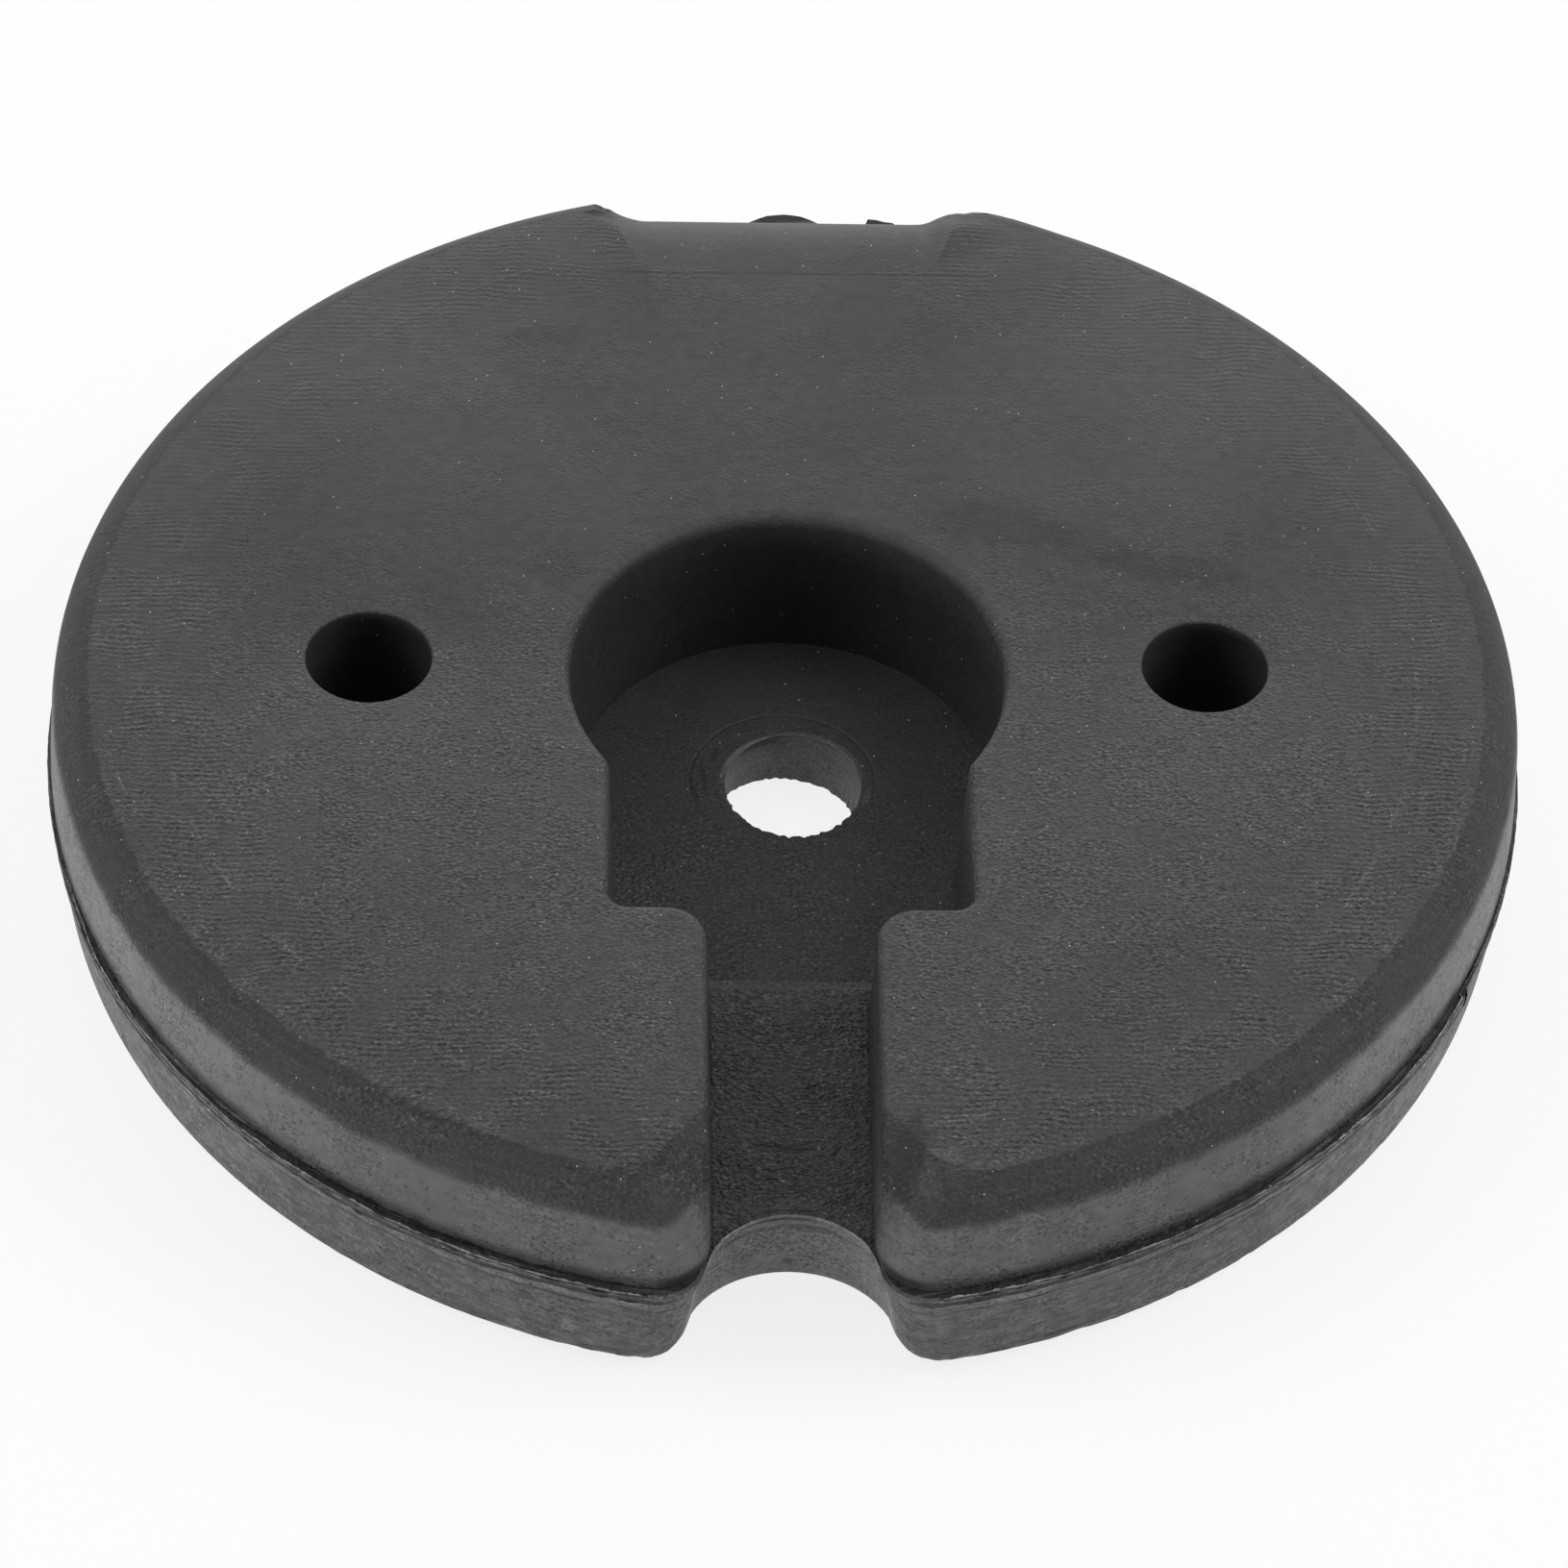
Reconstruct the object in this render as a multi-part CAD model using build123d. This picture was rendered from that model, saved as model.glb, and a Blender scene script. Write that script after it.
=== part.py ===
from build123d import *
import os
from math import cos, radians, sin, sqrt, tan

# Lamp base weight: one compression-moulded disc of mineral-filled rubber.
# Millimetres, +Z up. The origin is on the pipe hole's axis, in the flat underside.
# The cord channel runs towards -Y and the side holes lie on the X axis.

# Disc, made in two mould halves that meet at the parting line
disc_height = 18.9
parting_height = 10.3
parting_radius = 57.5
bottom_edge_radius = 2.5
lower_draft = 7.0

# Upper half: its wall stands back from the lower half and leaves a narrow ledge
ledge_width = 0.5
upper_draft = 3.0
top_edge_radius = 4.1
top_edge_lead = 17.0

# Flash left along the parting line, a thin lip that stands out of the lower half
flash_reach = 0.35
flash_thickness = 0.35

# Pocket for the pipe nut, a round with a square-ended bay towards the channel
pocket_radius = 16.9
pocket_setback = 0.8
pocket_floor_height = 5.5
bay_width = 27.6
bay_reach = 25.7
bay_corner_radius = 1.6
bay_junction_radius = 1.2
inner_edge_radius = 0.9

# Cord channel from the bay to the rim, its floor level with the parting line
channel_width = 12.9
channel_shoulder_radius = 3.0
channel_mouth_radius = 4.5

# Half-round cord notch through the lower half at the channel's mouth
notch_radius = 7.0
notch_setback = 1.5
notch_draft = 8.0
notch_corner_radius = 3.4

# Pipe hole through the pocket floor, and the two blind locating holes
pipe_hole_diameter = 11.4
side_hole_diameter = 9.8
side_hole_spacing = 64.6
side_hole_floor_height = 5.5

# Eased corners at the mouth, where the top edge turns in along the channel's last stretch
mouth_ease_radius = 6.0
mouth_ease_angle = 36.0
mouth_ease_reach = 10.6

# Rolled-off relief across the back of the rim
relief_reach = 13.2
relief_radius = 16.0
relief_lead = 4.0
relief_left_end = 13.9
relief_right_end = 14.9
relief_corner_radius = 3.2

# Cutting tools run past the faces that they open by this much
overrun = 2.0

# Points and edges this close to a place count as being on it
near = 0.01

upper_height = disc_height - parting_height
on_floor = (Align.CENTER, Align.CENTER, Align.MIN)


def lean_of(height, angle):
    """How far a wall of this height leans at this draft angle."""
    return height * tan(radians(angle))


def lower_half():
    """The drafted lower disc with its cord notch, rounded bottom edge and flash lip."""
    foot_radius = parting_radius - lean_of(parting_height, lower_draft)
    notch_y = notch_setback - parting_radius
    notch_foot_radius = notch_radius + lean_of(parting_height, notch_draft)
    disc = Cone(foot_radius, parting_radius, parting_height, align=on_floor)
    notch = Pos(0, notch_y, 0) * Cone(notch_foot_radius, notch_radius, parting_height, align=on_floor)
    half = disc - notch
    corners = [
        edge
        for edge in half.edges()
        if edge.position_at(0.5).Y < notch_y
        and abs(edge.position_at(0.5).X) < notch_foot_radius
        and edge.bounding_box().size.Z > parting_height / 2
    ]
    half = fillet(corners, notch_corner_radius)
    half = fillet(half.edges().filter_by_position(Axis.Z, 0, 0), bottom_edge_radius)
    lip_radius = parting_radius + flash_reach
    lip_plan = Circle(lip_radius) - Pos(0, notch_y) * Circle(notch_radius - flash_reach)
    lip_corners = [point for point in lip_plan.vertices() if point.Y < notch_y]
    lip_plan = fillet(lip_corners, notch_corner_radius + flash_reach)
    return half + Pos(0, 0, parting_height - flash_thickness) * extrude(lip_plan, flash_thickness)


def upper_section():
    """Half section of the upper disc: drafted wall, then the top edge's arc up to its crease."""
    wall_foot = parting_radius - ledge_width
    centre_z = disc_height - top_edge_radius * cos(radians(top_edge_lead))
    wall_top_z = centre_z + top_edge_radius * sin(radians(upper_draft))
    wall_top = wall_foot - lean_of(wall_top_z - parting_height, upper_draft)
    centre_r = wall_top - top_edge_radius * cos(radians(upper_draft))
    crease = centre_r + top_edge_radius * sin(radians(top_edge_lead))
    halfway = radians((90 - top_edge_lead + upper_draft) / 2)
    arc_middle = (centre_r + top_edge_radius * cos(halfway), centre_z + top_edge_radius * sin(halfway))
    with BuildSketch(Plane.XZ) as section:
        with BuildLine():
            Polyline((0, disc_height), (0, parting_height), (wall_foot, parting_height))
            Line((wall_foot, parting_height), (wall_top, wall_top_z))
            ThreePointArc((wall_top, wall_top_z), arc_middle, (crease, disc_height))
            Line((crease, disc_height), (0, disc_height))
        make_face()
    return section.sketch


def pocket_plan():
    """Pocket outline at the top face: the round and its bay."""
    round_part = Pos(0, -pocket_setback) * Circle(pocket_radius)
    bay = Pos(0, -bay_reach / 2) * Rectangle(bay_width, bay_reach)
    plan = round_part + bay
    corners = [point for point in plan.vertices() if abs(point.Y + bay_reach) < near]
    plan = fillet(corners, bay_corner_radius)
    junction_y = -pocket_setback - sqrt(pocket_radius**2 - (bay_width / 2) ** 2)
    junctions = [point for point in plan.vertices() if abs(point.Y - junction_y) < near]
    return fillet(junctions, bay_junction_radius)


def mouth_plan():
    """Flared outer end of the channel at the top face, tangent to the channel's sides and to the wall."""
    wall_radius = parting_radius - ledge_width - lean_of(upper_height, upper_draft)
    corner_radius = channel_mouth_radius - lean_of(upper_height, upper_draft)
    half_width = channel_width / 2
    corner_x = half_width + corner_radius
    corner_y = -sqrt((wall_radius - corner_radius) ** 2 - corner_x**2)
    outward = Vector(corner_x, corner_y).normalized()
    inner_end = Vector(half_width, corner_y)
    middle = Vector(corner_x, corner_y) + (outward + Vector(-1, 0)).normalized() * corner_radius
    rim_end = outward * wall_radius
    beyond = rim_end + Vector(-outward.Y, outward.X) * channel_width
    reach = -parting_radius - overrun
    with BuildSketch() as plan:
        with BuildLine() as outline:
            Line((0, corner_y), inner_end)
            ThreePointArc(inner_end, middle, rim_end)
            Polyline(rim_end, beyond, (beyond.X, reach), (0, reach))
            mirror(outline.line, about=Plane.YZ)
        make_face()
    return plan.sketch


def channel_plan():
    """Pocket and channel outline at the top face, out to the flared mouth."""
    mouth = mouth_plan()
    strip_end = mouth.bounding_box().max.Y
    strip = Pos(0, strip_end / 2) * Rectangle(channel_width, -strip_end)
    plan = pocket_plan() + strip
    shoulders = [
        point
        for point in plan.vertices()
        if abs(point.Y + bay_reach) < near and abs(abs(point.X) - channel_width / 2) < near
    ]
    return fillet(shoulders, channel_shoulder_radius) + mouth


def core(plan, depth):
    """Mould core of this plan that narrows with depth below the top face."""
    return Pos(0, 0, disc_height) * mirror(extrude(plan, depth, taper=upper_draft), Plane.XY)


def mouth_ease():
    """Cutter that rolls the top edge off obliquely at the right mouth corner."""
    lead = radians(top_edge_lead)
    centre_x = -mouth_ease_radius * sin(lead)
    centre_z = disc_height - mouth_ease_radius * cos(lead)
    halfway = radians((90 - top_edge_lead) / 2)
    arc_middle = (centre_x + mouth_ease_radius * cos(halfway), centre_z + mouth_ease_radius * sin(halfway))
    arc_foot = (centre_x + mouth_ease_radius, centre_z)
    beyond = arc_foot[0] + overrun
    above = disc_height + overrun
    with BuildSketch(Plane.XZ) as section:
        with BuildLine():
            ThreePointArc((0, disc_height), arc_middle, arc_foot)
            Polyline(arc_foot, (beyond, centre_z), (beyond, above), (0, above), (0, disc_height))
        make_face()
    roll = extrude(section.sketch, overrun) + extrude(section.sketch, -channel_width)
    start = Pos(channel_width / 2 + inner_edge_radius, mouth_ease_reach - parting_radius, 0)
    return start * Rot(0, 0, 180 + mouth_ease_angle) * roll


def upper_half():
    """The upper disc with the pocket and channel opened and their top edges rounded."""
    half = revolve(upper_section(), Axis.Z) - core(channel_plan(), upper_height)
    top = half.faces().filter_by(Axis.Z).sort_by(Axis.Z)[-1]
    outer = top.edges().sort_by(SortBy.LENGTH)[-1]
    inner = [edge for edge in top.edges() if edge.length < outer.length]
    half = fillet(inner, inner_edge_radius)
    corner = mouth_ease()
    return half - corner - mirror(corner, Plane.YZ)


def relief():
    """Cutter for the roll-off at the back, its lower corners rounded."""
    back = parting_radius + overrun
    relief_start = parting_radius - relief_reach
    centre_y = relief_start - relief_radius * sin(radians(relief_lead))
    centre_z = disc_height - relief_radius * cos(radians(relief_lead))
    ledge_y = centre_y + sqrt(relief_radius**2 - (parting_height - centre_z) ** 2)
    halfway_y = (relief_start + ledge_y) / 2
    halfway_z = centre_z + sqrt(relief_radius**2 - (halfway_y - centre_y) ** 2)
    with BuildSketch(Plane.YZ) as section:
        with BuildLine():
            ThreePointArc((relief_start, disc_height), (halfway_y, halfway_z), (ledge_y, parting_height))
            Polyline(
                (ledge_y, parting_height),
                (back, parting_height),
                (back, disc_height + overrun),
                (relief_start, disc_height + overrun),
                (relief_start, disc_height),
            )
        make_face()
    width = relief_left_end + relief_right_end
    cutter = Pos(-relief_left_end, 0, 0) * extrude(section.sketch, width)
    return fillet(cutter.edges().filter_by(GeomType.CIRCLE), relief_corner_radius)


base = lower_half() + upper_half()
base = base - core(pocket_plan(), disc_height - pocket_floor_height)
base = base - Cylinder(pipe_hole_diameter / 2, disc_height, align=on_floor)

side_hole = Cylinder(side_hole_diameter / 2, disc_height - side_hole_floor_height, align=on_floor)
for side in (-1, 1):
    base = base - Pos(side * side_hole_spacing / 2, 0, side_hole_floor_height) * side_hole
base = base - relief()

os.makedirs("parts", exist_ok=True)
export_step(base, "parts/base_weight.step")
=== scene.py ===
import math

import bpy
from mathutils import Matrix, Vector, noise


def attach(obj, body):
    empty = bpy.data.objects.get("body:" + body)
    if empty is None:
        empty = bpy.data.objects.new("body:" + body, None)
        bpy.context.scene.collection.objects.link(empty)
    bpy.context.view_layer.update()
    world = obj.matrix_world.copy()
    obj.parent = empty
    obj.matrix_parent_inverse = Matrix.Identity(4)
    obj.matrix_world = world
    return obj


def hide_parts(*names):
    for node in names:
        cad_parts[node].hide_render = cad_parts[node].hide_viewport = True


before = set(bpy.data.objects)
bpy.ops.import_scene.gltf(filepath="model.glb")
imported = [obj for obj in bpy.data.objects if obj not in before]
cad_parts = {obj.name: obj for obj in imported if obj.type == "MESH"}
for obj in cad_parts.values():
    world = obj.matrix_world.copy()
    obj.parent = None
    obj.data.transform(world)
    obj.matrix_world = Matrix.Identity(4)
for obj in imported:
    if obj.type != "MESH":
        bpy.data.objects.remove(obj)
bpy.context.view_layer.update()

# Lamp base weight: a disc of mineral-filled rubber, compression moulded in a two-part mould.
# Lengths in comments are in millimetres; the scene is in metres, in the part's own frame.

bl_info = {
    "name": "Lamp Base Weight",
    "version": (1, 0, 0),
    "blender": (4, 5, 0),
    "location": "View3D > Sidebar > Lamp Weight",
    "description": "Dresses the moulded rubber weight of a lamp base and sets it on a studio floor",
    "category": "Object",
}

MM = 0.001

# Places on the moulded disc, as its solid has them
TOP = 18.9
PARTING = 10.3
WALL_FOOT_RADIUS = 57.0
PARTING_RADIUS = 57.5
LIP_RADIUS = 57.85
LIP_UNDERSIDE = 9.95
CREASE_RADIUS = 53.85
POCKET_FLOOR = 5.5
PIPE_HOLE_RADIUS = 5.7
SIDE_HOLE_RADIUS = 4.9
SIDE_HOLE_PLACES = (-32.3, 32.3)
NOTCH_MIDDLE = -56.0
RELIEF_LEFT, RELIEF_RIGHT = -13.9, 14.9

# Softboxes round the disc: name, turn from the back, height angle, distance, width, height, watts
LAMPS = (
    ("back_strip", 0, 12, 1.2, 1.4, 0.35, 6.383),
    ("left_softbox", -90, 40, 1.2, 0.8, 0.8, 5.587),
    ("right_softbox", 90, 40, 1.2, 0.8, 0.8, 7.878),
    ("front_left_strip", -135, 4, 1.0, 0.7, 0.14, 3.856),
    ("front_right_strip", 135, 4, 1.0, 0.7, 0.14, 1.761),
)


# How far the worn relief stands above its moulded roll, from its left end to its right
RELIEF_PROFILE = (
    (-16.0, 0.0), (-14.8, 0.0), (-14.4, -0.25), (-13.9, -0.66), (-13.5, -0.25), (-13.2, 0.08), (-12.0, 0.58),
    (-10.5, 0.65), (11.5, 0.65), (12.7, 0.82), (13.2, 0.89), (13.7, 0.77), (14.1, 0.52), (14.6, -0.09),
    (14.9, -0.5), (15.3, -0.25), (15.9, -0.08), (16.9, 0.1), (17.8, 0.14), (19.2, 0.14), (21.5, 0.05), (23.0, 0.0),
)

# Stains and rubbed patches in plan: middle x and y, half sizes along and across, turn in degrees, tone
STAINS = (
    (17.0, 15.4, 7.5, 3.2, -8, 0.7),
    (24.0, 12.9, 6.0, 2.6, -14, 0.8),
    (30.0, 10.8, 8.0, 2.0, -12, 0.7),
    (-18.8, 36.4, 4.6, 1.9, 4, 0.72),
    (7.2, 38.0, 7.5, 6.5, 0, 0.85),
    (-17.7, 10.0, 2.2, 3.0, 20, 0.8),
    (-21.0, -30.4, 3.0, 2.4, 30, 0.8),
    (-9.0, -28.0, 2.6, 1.2, 10, 0.85),
    (8.2, -50.2, 1.6, 5.0, -12, 0.45),
    (10.4, -51.6, 2.4, 2.6, 0, 1.5),
    (-40.0, 12.0, 7.0, 12.0, 0, 0.93),
    (26.0, -32.0, 14.0, 6.0, 30, 0.93),
)

# Scratches in plan, laid out as the stains are
SCRATCHES = (
    (-0.6, -42.0, 2.9, 0.4, -5, 0.1),
    (3.3, -42.4, 0.9, 0.25, 50, 0.12),
    (-5.3, 2.9, 0.3, 1.1, -12, 0.35),
    (-6.2, 0.4, 0.28, 2.0, 6, 0.35),
    (-7.0, -0.8, 0.25, 2.4, 14, 0.6),
    (6.6, -1.5, 0.35, 1.1, -15, 1.9),
    (-7.1, -50.6, 0.12, 1.1, 25, 2.2),
    (-7.4, -52.0, 0.12, 0.9, -30, 2.2),
    (-8.2, -51.6, 0.1, 0.8, 60, 2.0),
    (-50.6, -14.2, 0.12, 1.2, 20, 2.0),
    (-51.0, -13.2, 0.1, 0.9, 15, 1.8),
)


# Torn and chipped patches on the lower half's wall: middle, half sizes and tone
WALL_MARKS = (
    ((20.4, -52.6, 1.9), (2.6, 3.0, 0.8), 0.4),
    ((22.9, -51.6, 2.6), (1.2, 3.0, 1.0), 0.5),
    ((-20.4, -52.8, 2.6), (1.1, 3.0, 0.5), 1.6),
)


def linear(hex_colour):
    """A linear RGBA colour from an sRGB hex string such as 4a4a4a."""
    channels = [int(hex_colour[i:i + 2], 16) / 255 for i in (0, 2, 4)]
    curve = [c / 12.92 if c <= 0.04045 else ((c + 0.055) / 1.055) ** 2.4 for c in channels]
    return (*curve, 1.0)


def add_node(tree, kind, links=None, **settings):
    """A node with its settings; links maps an input's name or number to a socket or a plain value."""
    node = tree.nodes.new(kind)
    for name, value in settings.items():
        setattr(node, name, value)
    for key, value in (links or {}).items():
        socket = node.inputs[key]
        if isinstance(value, bpy.types.NodeSocket):
            tree.links.new(value, socket)
        else:
            socket.default_value = value
    return node


class DiscSettings(bpy.types.PropertyGroup):
    """Sizes and colours of the rubber disc."""

    rubber_colour: bpy.props.FloatVectorProperty(
        name="Rubber", description="The rubber on the top face", default=linear("383838"), size=4,
        subtype="COLOR", min=0, max=1,
    )
    dust_colour: bpy.props.FloatVectorProperty(
        name="Dust", description="Dust and bright mineral grains", default=linear("a0a0a0"), size=4,
        subtype="COLOR", min=0, max=1,
    )
    side_hole_bevel: bpy.props.FloatProperty(
        name="Side hole bevel", description="Worn rim of each side hole", default=0.18 * MM, unit="LENGTH"
    )
    lip_thickening: bpy.props.FloatProperty(
        name="Lip thickening", description="How far the flash lip sags", default=0.2 * MM, unit="LENGTH"
    )
    lip_raggedness: bpy.props.FloatProperty(
        name="Lip raggedness", description="How far the flash lip wanders", default=0.12 * MM, unit="LENGTH"
    )
    fin_height: bpy.props.FloatProperty(
        name="Fin height", description="Torn flash fin on the lip", default=0.2 * MM, unit="LENGTH"
    )
    fin_thickness: bpy.props.FloatProperty(
        name="Fin thickness", description="Torn flash fin on the lip", default=0.1 * MM, unit="LENGTH"
    )
    half_offset: bpy.props.FloatProperty(
        name="Half offset", description="How far the lower half sits forward", default=0.3 * MM, unit="LENGTH"
    )
    parting_sink: bpy.props.FloatProperty(
        name="Parting sink", description="How far the parting sits lower", default=0.45 * MM, unit="LENGTH"
    )
    side_trim: bpy.props.FloatProperty(
        name="Side trim", description="How far the lower half's sides sit in", default=0.25 * MM, unit="LENGTH"
    )
    notch_setback: bpy.props.FloatProperty(
        name="Notch setback", description="How far back the worn notch reaches", default=0.77 * MM, unit="LENGTH"
    )
    back_flash: bpy.props.FloatProperty(
        name="Back flash", description="Flash left behind the relief", default=0.8 * MM, unit="LENGTH"
    )
    foot_raggedness: bpy.props.FloatProperty(
        name="Foot raggedness", description="Torn bottom edge", default=0.15 * MM, unit="LENGTH"
    )
    hole_raggedness: bpy.props.FloatProperty(
        name="Hole raggedness", description="Torn rim of the pipe hole", default=0.22 * MM, unit="LENGTH"
    )
    rim_shift: bpy.props.FloatProperty(
        name="Rim shift", description="How far the hole's upper rim is dragged aside", default=0.85 * MM, unit="LENGTH"
    )


class StageSettings(bpy.types.PropertyGroup):
    """Camera, floor and lamps."""

    focal_length: bpy.props.FloatProperty(name="Focal length", description="Camera lens", default=187.14, min=20)
    distance: bpy.props.FloatProperty(
        name="Distance", description="From the disc's middle to the camera", default=635.669 * MM, unit="LENGTH"
    )
    elevation: bpy.props.FloatProperty(
        name="Elevation", description="Camera height angle", default=math.radians(45.990), subtype="ANGLE"
    )
    azimuth: bpy.props.FloatProperty(
        name="Azimuth", description="Camera turn round the disc", default=math.radians(-2.489), subtype="ANGLE"
    )
    roll: bpy.props.FloatProperty(
        name="Roll", description="Camera turn about its own axis", default=math.radians(2.460), subtype="ANGLE"
    )
    aim_height: bpy.props.FloatProperty(
        name="Aim height", description="Height the camera looks at", default=10 * MM, unit="LENGTH"
    )
    shift_right: bpy.props.FloatProperty(
        name="Shift right", description="Camera step sideways", default=0.138 * MM, unit="LENGTH"
    )
    shift_up: bpy.props.FloatProperty(
        name="Shift up", description="Camera step upwards", default=-3.294 * MM, unit="LENGTH"
    )
    back_air: bpy.props.FloatProperty(
        name="Back air", description="Soft light from the room's back", default=0.364, min=0
    )
    top_air: bpy.props.FloatProperty(
        name="Top air", description="Soft light from overhead", default=0.572, min=0
    )


class OBJECT_OT_weight_disc(bpy.types.Operator):
    """Makes the moulded rubber disc"""

    bl_idname = "lamp_weight.disc"
    bl_label = "Rubber Disc"

    def execute(self, context):
        settings = context.scene.lamp_disc
        disc = merged_copy(context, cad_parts["base_weight"])
        bevel_side_holes(disc, settings)
        cut_hole_ring(context, disc)
        close_mouth_steps(disc)
        refine_rim(disc)
        refine_relief(disc)
        lip = lip_points(disc)
        set_lower_half(disc, settings)
        soften_relief(disc)
        tear_edges(disc, settings, lip)
        sink_parting(disc, settings)
        refine_pipe_hole(disc)
        tear_pipe_hole(disc, settings)
        add_fin(context, disc, settings)
        bpy.ops.object.mode_set(mode="OBJECT")
        bpy.ops.object.shade_smooth_by_angle(angle=math.radians(25))
        disc.data.materials.clear()
        disc.data.materials.append(moulded_rubber(settings))
        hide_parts("base_weight")
        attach(disc, "root")
        return {"FINISHED"}


def merged_copy(context, cad):
    """A copy of the solid's mesh as one closed skin, free of the solid's own normals."""
    bpy.ops.object.select_all(action="DESELECT")
    cad.select_set(True)
    context.view_layer.objects.active = cad
    bpy.ops.object.duplicate()
    disc = context.object
    disc.name = "rubber_disc"
    for key in [key for key in disc.keys() if key.startswith("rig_")]:
        del disc[key]
    disc.parent = None
    bpy.ops.object.mode_set(mode="EDIT")
    bpy.ops.mesh.select_all(action="SELECT")
    bpy.ops.mesh.remove_doubles(threshold=0.002 * MM)
    bpy.ops.mesh.customdata_custom_splitnormals_clear()
    return disc


def select_edges(piece, test):
    """Leaves the piece in edit mode with only those edges selected whose two ends, in mm, pass the test."""
    bpy.ops.object.mode_set(mode="EDIT")
    bpy.ops.mesh.select_mode(type="EDGE")
    bpy.ops.mesh.select_all(action="DESELECT")
    bpy.ops.object.mode_set(mode="OBJECT")
    points = [vertex.co / MM for vertex in piece.data.vertices]
    for edge in piece.data.edges:
        edge.select = test(*(points[i] for i in edge.vertices))
    bpy.ops.object.mode_set(mode="EDIT")


def bevel_side_holes(disc, settings):
    """Wears the sharp rim of each side hole round."""
    def on_rim(point):
        return abs(point.z - TOP) < 0.01 and any(
            abs(math.hypot(point.x - x, point.y) - SIDE_HOLE_RADIUS) < 0.05 for x in SIDE_HOLE_PLACES
        )

    select_edges(disc, lambda a, b: on_rim(a) and on_rim(b))
    bpy.ops.mesh.bevel(offset=settings.side_hole_bevel, segments=3, affect="EDGES")
    bpy.ops.object.mode_set(mode="OBJECT")


def cut_hole_ring(context, disc):
    """Presses the shallow ring groove of the mould's core pin into the pocket floor."""
    bpy.ops.object.select_all(action="DESELECT")
    bpy.ops.mesh.primitive_torus_add(
        major_radius=7.3 * MM, minor_radius=0.4 * MM, major_segments=96, minor_segments=12,
        location=(0, 0, (POCKET_FLOOR + 0.33) * MM),
    )
    ring = context.object
    context.view_layer.objects.active = disc
    cut = disc.modifiers.new("hole_ring", "BOOLEAN")
    cut.operation = "DIFFERENCE"
    cut.object = ring
    bpy.ops.object.modifier_apply(modifier=cut.name)
    bpy.data.objects.remove(ring)
    disc.select_set(True)


def close_mouth_steps(disc):
    """Closes the hair-wide step that the rolled mouth corner leaves on each flank."""
    def on_step(point):
        return 6.0 < abs(point.x) < 8.5 and -56 < point.y < -52 and abs(point.z - 13.16) < 0.02

    for side in (-1, 1):
        step = [v for v in disc.data.vertices if v.co.x * side > 0 and on_step(v.co / MM)]
        step.sort(key=lambda v: v.co.y)
        start = step[0].co.copy()
        along = (step[-1].co - start).normalized()
        for vertex in step:
            vertex.co = start + along * (vertex.co - start).dot(along)
    select_edges(disc, lambda a, b: on_step(a) and on_step(b))
    bpy.ops.mesh.dissolve_degenerate(threshold=0.02 * MM)
    bpy.ops.object.mode_set(mode="OBJECT")


def refine_rim(disc):
    """Divides the rows that run round the rim and sets their new points on the true round."""
    def along_row(a, b):
        across = abs(math.hypot(a.x, a.y) - math.hypot(b.x, b.y))
        return math.hypot(a.x, a.y) > 53.8 and across < 0.005 and abs(a.z - b.z) < 0.005 and (a - b).length < 5

    select_edges(disc, along_row)
    bpy.ops.object.mode_set(mode="OBJECT")
    ends = {i for edge in disc.data.edges if edge.select for i in edge.vertices}
    radii = {}
    for i in ends:
        point = disc.data.vertices[i].co / MM
        radii.setdefault(round(point.z, 2), set()).add(round(math.hypot(point.x, point.y), 3))
    old_count = len(disc.data.vertices)
    bpy.ops.object.mode_set(mode="EDIT")
    bpy.ops.mesh.subdivide(number_cuts=3)
    bpy.ops.object.mode_set(mode="OBJECT")
    for vertex in disc.data.vertices[old_count:]:
        point = vertex.co / MM
        radius = math.hypot(point.x, point.y)
        true_radius = min(radii.get(round(point.z, 2), {radius}), key=lambda r: abs(r - radius))
        if radius < 1 or abs(true_radius - radius) > 0.08:
            continue
        vertex.co.x *= true_radius / radius
        vertex.co.y *= true_radius / radius


def lip_points(disc):
    """The numbers of the points along the flash lip."""
    lip = set()
    for vertex in disc.data.vertices:
        point = vertex.co / MM
        outer = math.hypot(point.x, point.y) > PARTING_RADIUS + 0.1
        if outer and LIP_UNDERSIDE - 0.1 < point.z < PARTING + 0.1:
            lip.add(vertex.index)
    return lip


def ramp(value, low, high):
    """0 below low, 1 above high and smooth between."""
    share = min(max((value - low) / (high - low), 0), 1)
    return share * share * (3 - 2 * share)


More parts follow.
